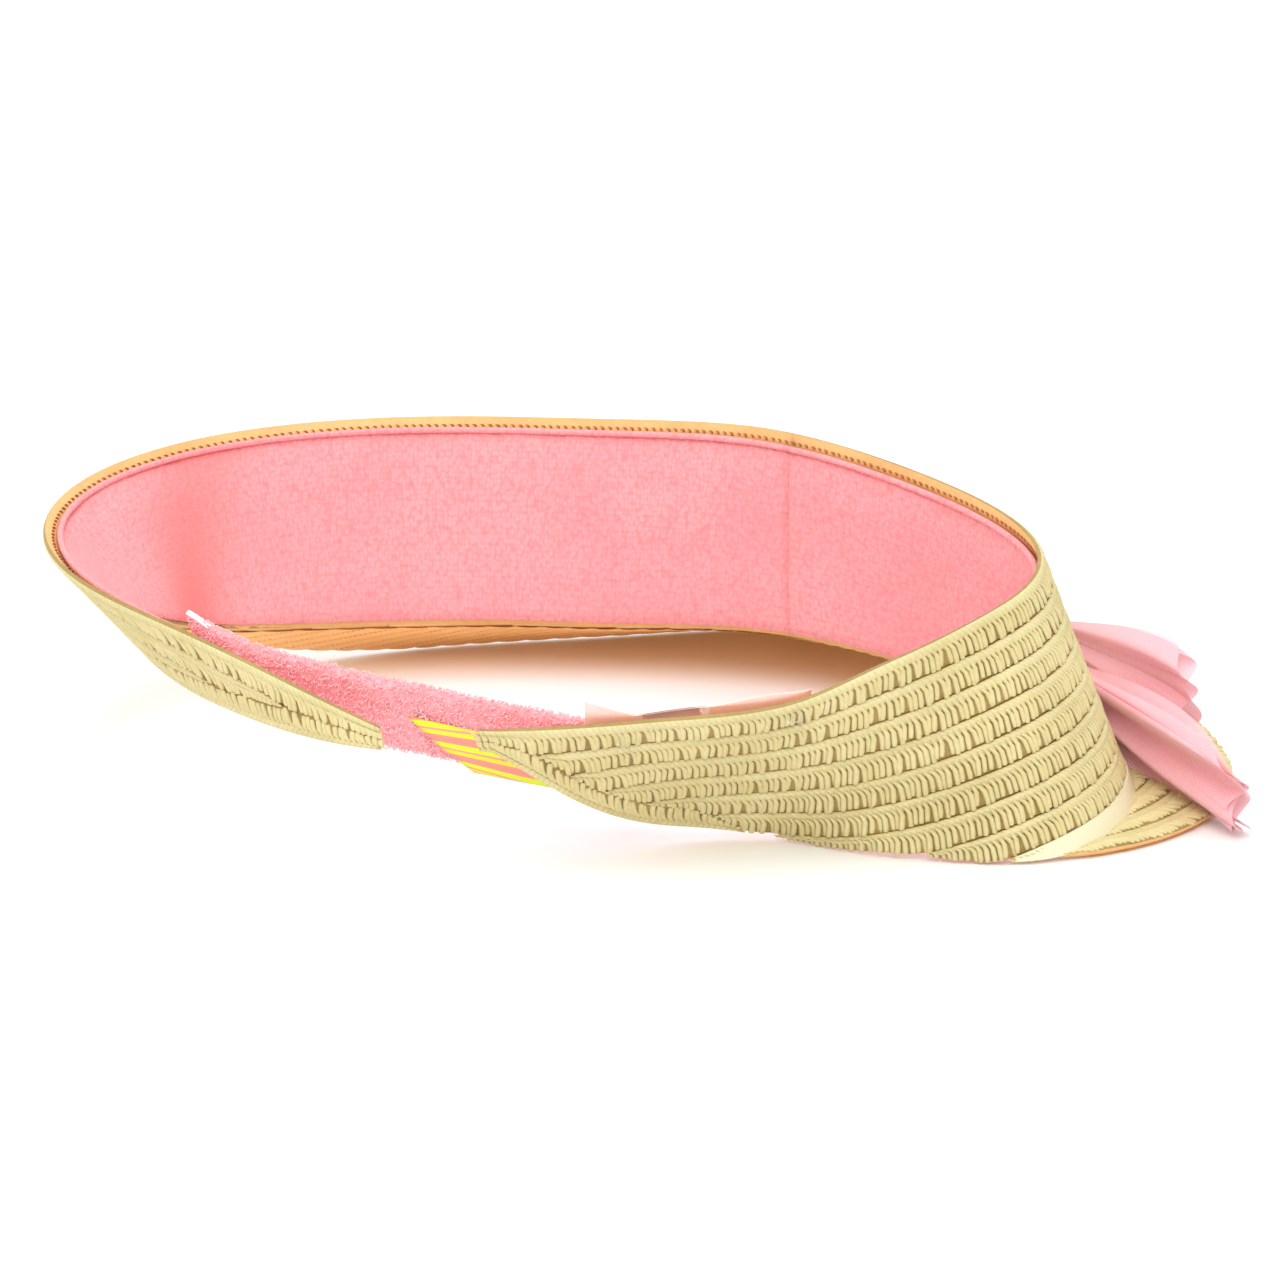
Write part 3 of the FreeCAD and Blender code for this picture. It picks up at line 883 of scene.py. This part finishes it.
BRIM_OUTLINE = [
    (0.0, 0.30),
    (0.01, 0.75),
    (0.035, 1.0),
    (0.05, 1.1),
    (0.13, 1.4),
    (0.22, 1.45),
    (0.32, 1.35),
    (0.40, 1.2),
    (0.46, 1.05),
    (0.75, 1.05),
    (0.97, 0.95),
    (0.985, 0.45),
    (0.93, 0.12),
    (0.6, 0.0),
    (0.3, 0.03),
    (0.08, 0.2),
]

RIDGE_PITCH = 4.6
RIDGE_SLOPE = 1.5  # how far a ridge runs along the brim for each millimetre that it runs in


def brim_underside():
    """The courses as they show under the brim: slanting ridges, with painted shade as dark lines in the
    grooves between them.
    """
    first, last = where_wide(brim_length, BRIM_FIRST + 2, BRIM_LAST - 1, 3.0)
    angles, _ = stretch(brim_edge, first, last, 0.7)
    rows = 26
    points, uvs, groove_shade = [], [], []
    along = 0.0
    for i, angle in enumerate(angles):
        edge, across, face = brim_frame(angle)
        if i:
            along += (edge - brim_edge(angles[i - 1])).length
        wide = brim_length(angle) - 0.8
        for k in range(rows + 1):
            inward = 0.5 + (wide - 0.5) * k / rows
            phase = ((along * 0.8 + inward / RIDGE_SLOPE) / RIDGE_PITCH) % 1
            ridge = math.sin(math.pi * phase) ** 0.5
            points.append(edge + across * inward - face * (0.02 + 0.3 * ridge))
            uvs.append((along / CLOTH_UNIT, inward / CLOTH_UNIT))
            # 1 at the bottom of a groove: how much painted shade the material puts there.
            groove_shade.append(max(0.0, 1 - ridge * 1.9))
    faces = grid_faces(len(angles) - 1, rows)
    piece = mesh_object("brim_underside", points, faces, UNDERSIDE, uvs)
    marks = piece.data.attributes.new("groove", "FLOAT", "POINT")
    marks.data.foreach_set("value", groove_shade)
    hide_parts("brim_course_1")
    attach(piece, "crown")


band()
brim()
brim_underside()


# ---------------------------------------------------------------- sweatband
LINING_TOP = 2.9
TAIL_LINING_TOP = 5.4
LINING_FACE = -0.3
LINING_DEPTH = 1.2


def lining_top(angle):
    """The sweatband starts lower down on the right tail."""
    u = min(max((-88.0 - angle) / 22.0, 0), 1)
    return LINING_TOP + (TAIL_LINING_TOP - LINING_TOP) * u * u * (3 - 2 * u)


def crease(angle, u):
    """How deep the soft crease at the left end is, from 0 to 1; u runs down the sweatband."""
    return math.exp(-(((angle - 88.0 - 6.0 * u) / 5.0) ** 2)) * (0.35 + 0.65 * u)


def lining_sections(angles):
    sections = []
    for angle in angles:
        width = band_width(angle)
        high = lining_top(angle)
        low = max(width - 1.0, high + 1.2)
        count = 16
        front = []
        for k in range(count + 1):
            u = k / count
            down = high + (low - high) * u
            edge = min(1.0, 3.5 * min(u, 1 - u) + 0.35)
            p = band_point(angle, down, 0)
            soft = noise.noise(p * 0.06) * 0.45 + noise.noise(p * 0.2) * 0.12 - 0.5 * crease(angle, u)
            front.append(band_point(angle, down, LINING_FACE - LINING_DEPTH * edge - soft * edge))
        back = [band_point(angle, low, LINING_FACE), band_point(angle, high, LINING_FACE)]
        sections.append(front + back)
    return sections


def shade_crease(piece, angles):
    """Marks the crease on the mesh, for the material to darken it as painted shade."""
    count = len(piece.data.vertices) // len(angles)
    depths = piece.data.attributes.new("crease", "FLOAT", "POINT")
    for i, angle in enumerate(angles):
        for k in range(count):
            depths.data[i * count + k].value = crease(angle, min(k / 16, 1))


def sweatband():
    for side, first, last in (("left", SPLIT, LEFT_TIP), ("right", RIGHT_TIP, SPLIT)):
        first, last = where_wide(band_width, first, last, 5.0)
        angles, length = stretch(lambda a: band_point(a, LINING_TOP, 0), first, last, 2.2)
        piece = tube_mesh("sweatband_%s" % side, lining_sections(angles), TERRY)
        shade_crease(piece, angles)
        area = sum(
            (band_width(a) - 2.6) * (band_point(b, 5, 0) - band_point(a, 5, 0)).length
            for a, b in zip(angles, angles[1:])
        )
        crown_node = ["crown_sweatband"] if side == "left" else []
        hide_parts(*existing("%s_tail_sweatband" % side), *crown_node)
        blend_to_tail(piece)
        hem(side, angles)


def hem(side, angles):
    """The rolled hem, and the row of needle holes above it in the straw."""
    sections, rows = [], []
    for angle in angles:
        centre = band_point(angle, lining_top(angle) - 0.1, LINING_FACE - 0.72)
        _, fall, face = band_frame(angle)
        ring = []
        for k in range(8):
            a = math.tau * k / 8
            swell = 1 + 0.12 * noise.noise(centre * 0.5 + Vector((k, 0, 0)))
            ring.append(centre + fall * (0.6 * swell * math.cos(a)) + face * (0.55 * swell * math.sin(a)))
        sections.append(ring)
    name = "sweatband_hem_%s" % side
    roll = tube_mesh(name, sections, TERRY)
    spots, _ = stretch(lambda a: band_point(a, 3, 0), angles[0], angles[-1], 1.5)
    for angle in spots:
        place = band_point(angle, lining_top(angle) - 1.5, -0.02)
        _, fall, face = band_frame(angle)
        rows.append((place, fall, -face, Vector((0.42, 0.75, 0.28))))
    holes = repeated(name + "_needle_holes", rows, STROKE, HOLES, 0.35, 0.2, 0.0, 5)
    piece = join(name, [roll, holes])
    nodes = existing("%s_tail_sweatband_hem" % side) + (["crown_sweatband_hem"] if side == "left" else [])
    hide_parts(*nodes)
    blend_to_tail(piece)


sweatband()

# ---------------------------------------------------------------- strap
STRAP_DEPTH = 6.8
STRAP_HEIGHT = 14.0
STRAP_THICKNESS = 4.0
STRAP_TAPER = 0.2  # share of the strap over which each end flattens into its seam
STRAP_STATIONS = [(136, 14), (150, 9.5), (-163, 11), (-144, 17)]


def strap_frame(angle, down):
    _, fall, face = band_frame(angle)
    return band_point(angle, down, -STRAP_DEPTH), fall, face


STRAP_FRAMES = [strap_frame(*station) for station in STRAP_STATIONS]


def strap_at(along):
    """Middle, downward and outward directions of the strap; along runs 0 to 1 from the left."""
    last = len(STRAP_FRAMES) - 1
    parts = []
    for part in range(3):
        tables = [[(i / last, one[part][axis]) for i, one in enumerate(STRAP_FRAMES)] for axis in range(3)]
        parts.append(Vector([smooth(table, along) for table in tables]))
    return parts[0], parts[1].normalized(), parts[2].normalized()


def strap_sections(first, last, count, around):
    sections = []
    for i in range(count + 1):
        along = first + (last - first) * i / count
        middle, fall, face = strap_at(along)
        end = min(along, 1 - along) / STRAP_TAPER
        flat = 0.35 + 0.65 * min(end, 1.0) ** 0.6
        ring = []
        for k in range(around):
            a = math.tau * k / around
            across = math.copysign(abs(math.cos(a)) ** 0.8, math.cos(a)) * STRAP_HEIGHT / 2
            out = math.copysign(abs(math.sin(a)) ** 0.9, math.sin(a)) * STRAP_THICKNESS / 2 * flat
            p = middle + fall * across
            crumple = 0.9 * noise.noise(p * 0.16) + 0.35 * noise.noise(p * 0.5)
            ring.append(middle + fall * (across * (1 + 0.05 * crumple)) + face * (out + crumple * 0.7))
        sections.append(ring)
    return sections


def pile_mesh():
    """One standing loop of cotton."""
    points, faces = [], []
    for i in range(5):
        a = math.pi * i / 4
        centre = Vector((0.5 * math.cos(a), 0, 0.9 * math.sin(a)))
        for k in range(3):
            b = math.tau * k / 3
            across, level = 0.16 * math.cos(b), 0.16 * math.sin(b)
            points.append(centre + Vector((across * math.cos(a), level, across * math.sin(a))))
    for i in range(4):
        for k in range(3):
            a, b = i * 3 + k, i * 3 + (k + 1) % 3
            faces.append((a, b, b + 3, a + 3))
    return mesh_object("loop", [p / MM for p in points], faces, PILE)


LOOP = pile_mesh()


def surface_rows(piece, spacing, extent, seed):
    """Evenly scattered places on a piece's faces, with their directions."""
    scatter = random.Random(seed)
    rows = []
    for polygon in piece.data.polygons:
        if len(polygon.vertices) > 4:
            continue
        corners = [piece.data.vertices[i].co / MM for i in polygon.vertices]
        share = polygon.area / MM / MM / spacing**2
        for _ in range(int(share) + (scatter.random() < share % 1)):
            u, v = scatter.random(), scatter.random()
            low = corners[0].lerp(corners[1], u)
            high = corners[3].lerp(corners[2], u)
            turn = scatter.random() * math.tau
            normal = polygon.normal
            side = normal.orthogonal().normalized()
            heading = side * math.cos(turn) + normal.cross(side) * math.sin(turn)
            size = extent * scatter.uniform(0.7, 1.3)
            rows.append((low.lerp(high, v), heading, normal.copy(), Vector((size, size, size))))
    return rows


def strap():
    for side, first, last in (("left", 0.0, 0.505), ("right", 0.495, 1.0)):
        name = "strap_sleeve_cloth_%s" % side
        sleeve = tube_mesh(name, strap_sections(first, last, 34, 20), TOWEL)
        rows = surface_rows(sleeve, 0.62, 0.55, 3 if side == "left" else 4)
        pile = repeated(name + "_pile", rows, LOOP, PILE, 0.0, 0.3, 0.0, 8)
        piece = join(name, [sleeve, pile])
        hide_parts("strap_sleeve_%s" % side)
        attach(piece, side + "_tail")


# The label along the strap, as shares of its length, and across it, in millimetres.
LABEL_MIDDLE, LABEL_HALF, LABEL_SLANT = 0.575, 0.088, 0.03
LABEL_DROP, LABEL_HALF_HEIGHT, LABEL_LIFT = 2.3, 4.6, 0.85
# down (-1 to 1) and out from the strap, round the label's section
LABEL_OUTLINE = [(-1, 0), (-0.5, 0.35), (0, 0.45), (0.5, 0.35), (1, 0), (1, -0.3), (0, -0.1), (-1, -0.3)]


def label():
    sections = []
    for i in range(19):
        ring = []
        for down, out in LABEL_OUTLINE:
            start = LABEL_MIDDLE - LABEL_HALF + LABEL_SLANT * (down + 1)
            along = start + (LABEL_MIDDLE + LABEL_HALF - start) * i / 18
            place, fall, face = strap_at(along)
            lower = fall * (LABEL_DROP + down * LABEL_HALF_HEIGHT)
            ring.append(place + lower + face * (STRAP_THICKNESS / 2 + LABEL_LIFT + out))
        sections.append(ring)
    piece = tube_mesh("label_striped", sections, LABEL)
    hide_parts("striped_label")
    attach(piece, "right_tail")


strap()
label()


# ---------------------------------------------------------------- care label and tacks
CARE_FIRST, CARE_LAST = -160.0, -118.0


def care_label():
    sections = []
    for i in range(31):
        angle = CARE_FIRST + (CARE_LAST - CARE_FIRST) * i / 30
        u = i / 30
        high = 1.2 - 4.2 * max(0.0, 1 - u / 0.24) - 1.9 * math.exp(-(((u - 0.80) / 0.16) ** 2))
        out = -2.1 + 0.35 * math.sin(9 * u)
        ring = [band_point(angle, down, out) for down in (high, 1.0, 4.0, 9.0)]
        ring += [band_point(angle, down, out - 0.3) for down in (9.0, 4.0, 1.0, high)]
        sections.append(ring)
    piece = tube_mesh("care_ribbon", sections, SATIN)
    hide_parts("care_label")
    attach(piece, "right_tail")


THREAD_RADIUS = 0.09


def tacks():
    """Two tufts of clear thread ends."""
    tuft = random.Random(11)
    tubes = []
    for angle, down in ((-121, 4.0), (-152, 5.0)):
        _, fall, face = band_frame(angle)
        along = (band_point(angle + 0.5, 3, 0) - band_point(angle - 0.5, 3, 0)).normalized()
        for strand in range(7):
            start = band_point(angle, down + tuft.uniform(-2.4, 2.4), STRAW + 0.1)
            start += along * tuft.uniform(-1, 1)
            aim = fall * tuft.uniform(-3.0, 3.0) + along * tuft.uniform(-1.8, 1.8)
            sections = []
            for i in range(7):
                u = i / 6
                centre = start + aim * u + face * (1.1 * math.sin(math.pi * u))
                corners = [fall * math.cos(a) + face * math.sin(a) for a in (0, 1.57, 3.14, 4.71)]
                sections.append([centre + corner * THREAD_RADIUS for corner in corners])
            tubes.append(tube_mesh("thread_%d" % strand, sections, NYLON))
    piece = join("thread_ends", tubes)
    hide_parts("thread_tacks")
    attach(piece, "right_tail")


care_label()
tacks()

# ---------------------------------------------------------------- bow
BOW_ANGLE, BOW_DOWN = -52.0, 29.0
KNOT_LENGTH, KNOT_HEIGHT, KNOT_THICKNESS = 9.0, 10.0, 7.0
KNOT_CLEARANCE = 0.4
KNOT_BITE = 1.5  # how far each fan starts inside the knot
GATHERED_HEIGHT = 3.0  # height of a fan where the knot holds it
LAYER_GAP = 2.2
GROUND_CLEARANCE = 1.2
TULLE_FULLNESS = 1.6  # cloth width to drawn height, for the scale of the net


def bow_axes():
    level = outwards(BOW_ANGLE)
    along = Vector((-level.y, level.x, 0))
    centre = band_point(BOW_ANGLE, BOW_DOWN, STRAW + KNOT_CLEARANCE + KNOT_THICKNESS / 2)
    return centre, along, level


def tulle_fan(name, node, body, way, length, height, lift, rise, spread, pleats, layers, seed):
    """Layers of net gathered at the knot and fanning out in pleats."""
    centre, along, level = bow_axes()
    start = centre + along * way * (KNOT_LENGTH / 2 - KNOT_BITE) + Vector((0, 0, lift * 0.6))
    rng = random.Random(seed)
    sheets, total = [], 0.0
    rows, columns = 26, 90
    for layer in range(layers):
        phase, shade = rng.uniform(0, 6.28), rng.uniform(-1, 1)
        apart = (layer - (layers - 1) / 2) * LAYER_GAP
        points, uvs = [], []
        for i in range(rows + 1):
            u = i / rows
            bend = math.sin(math.pi / 2 * u)
            for k in range(columns + 1):
                v = k / columns
                tall = GATHERED_HEIGHT + (height - GATHERED_HEIGHT) * bend
                fold = math.sin(math.tau * pleats * v + phase + 0.9 * math.sin(4 * v + shade + 1.5 * u))
                out = (0.5 + 1.9 * bend) * fold + spread * bend + apart * math.sin(math.pi * u * 0.9)
                ruffle = 0.9 * bend * math.sin(math.tau * pleats * v * 0.5 + phase)
                reach = length * u * (1 + 0.03 * math.sin(9 * v + phase) * u - 0.2 * (2 * v - 1) ** 4 * u)
                z = (v - 0.5) * tall + rise * u + lift * 0.4 + ruffle * 0.3
                p = start + along * way * reach + level * (out + ruffle) + Vector((0, 0, z))
                p.z = max(p.z, GROUND_CLEARANCE)
                points.append(p)
                uvs.append((length * u / CLOTH_UNIT, v * height * TULLE_FULLNESS / CLOTH_UNIT))
        faces = grid_faces(rows, columns)
        sheet = mesh_object("%s_layer_%d" % (name, layer), points, faces, TULLE, uvs)
        total += sum(p.area for p in sheet.data.polygons)
        sheets.append(sheet)
    piece = join(name, sheets)
    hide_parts(node)
    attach(piece, body)


def knot():
    centre, along, level = bow_axes()
    sections = []
    for i in range(17):
        t = math.pi * i / 16
        ring = []
        for k in range(28):
            a = math.tau * k / 28
            pleat = 1 + 0.09 * math.sin(9 * a + 3 * math.cos(t))
            r = math.sin(t) ** 0.7 * pleat if 0 < i < 16 else 0.02
            ring.append(
                centre
                + Vector((0, 0, math.cos(t) * KNOT_HEIGHT / 2))
                + along * (math.cos(a) * r * KNOT_LENGTH / 2)
                + level * (math.sin(a) * r * KNOT_THICKNESS / 2)
            )
        sections.append(ring)
    piece = tube_mesh("bow_knot_cloth", sections, TULLE)
    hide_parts("bow_knot")
    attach(piece, "crown")


tulle_fan("tulle_rear_loop", "bow_rear_loop", "bow_rear", -1, 31, 17, 3, -7, 9, 2, 2, 21)
tulle_fan("tulle_rear_tail", "bow_rear_tail", "bow_rear", -1, 57, 17, -4, -10, 0, 2, 3, 22)
tulle_fan("tulle_front_loop", "bow_front_loop", "bow_front", 1, 34, 15, 4, 4, 6, 2, 2, 23)
tulle_fan("tulle_front_tail", "bow_front_tail", "bow_front", 1, 40, 12, -4, -1, 13, 2, 2, 24)
knot()

for helper in (STROKE, LOOP):
    bpy.data.objects.remove(helper)


# ---------------------------------------------------------------- stage
CENTRE = Vector((shift.x, shift.y, shift.z + 23.0)) * MM
AZIMUTH, ELEVATION, DISTANCE = 210.1, 17.8, 0.7


def stage():
    scene = bpy.context.scene
    floor_mesh = bpy.data.meshes.new("floor")
    floor_mesh.from_pydata([(-6, -6, 0), (6, -6, 0), (6, 6, 0), (-6, 6, 0)], [], [(0, 1, 2, 3)])
    material, _, _, shader = new_material("floor")
    shader.inputs["Base Color"].default_value = (0.93, 0.93, 0.93, 1)
    shader.inputs["Roughness"].default_value = 0.6
    floor_mesh.materials.append(material)
    floor = bpy.data.objects.new("floor", floor_mesh)
    scene.collection.objects.link(floor)

    world = bpy.data.worlds.new("studio")
    scene.world = world
    world.use_nodes = True
    world.node_tree.nodes["Background"].inputs["Color"].default_value = (1, 1, 1, 1)
    world.node_tree.nodes["Background"].inputs["Strength"].default_value = 0.9
    for name, place, power, width in (
        ("key", (-0.5, 1.2, 1.6), 14, 1.2),
        ("fill", (1.3, 0.6, 1.1), 7, 1.4),
        ("top", (0.0, -0.2, 1.8), 12, 1.8),
    ):
        light = bpy.data.lights.new(name, "AREA")
        light.energy = power
        light.size = width
        lamp = bpy.data.objects.new(name, light)
        lamp.location = place
        lamp.rotation_euler = (CENTRE - Vector(place)).to_track_quat("-Z", "Y").to_euler()
        scene.collection.objects.link(lamp)

    a, e = math.radians(AZIMUTH), math.radians(ELEVATION)
    away = Vector((math.sin(a) * math.cos(e), -math.cos(a) * math.cos(e), math.sin(e)))
    camera = bpy.data.cameras.new("camera")
    camera.lens = 108.3
    camera.sensor_width = 36
    camera.shift_y = 0.006
    view = bpy.data.objects.new("camera", camera)
    view.location = CENTRE + away * DISTANCE
    view.rotation_euler = (-away).to_track_quat("-Z", "Y").to_euler()
    scene.collection.objects.link(view)
    scene.camera = view
    scene.view_settings.view_transform = "Standard"


stage()
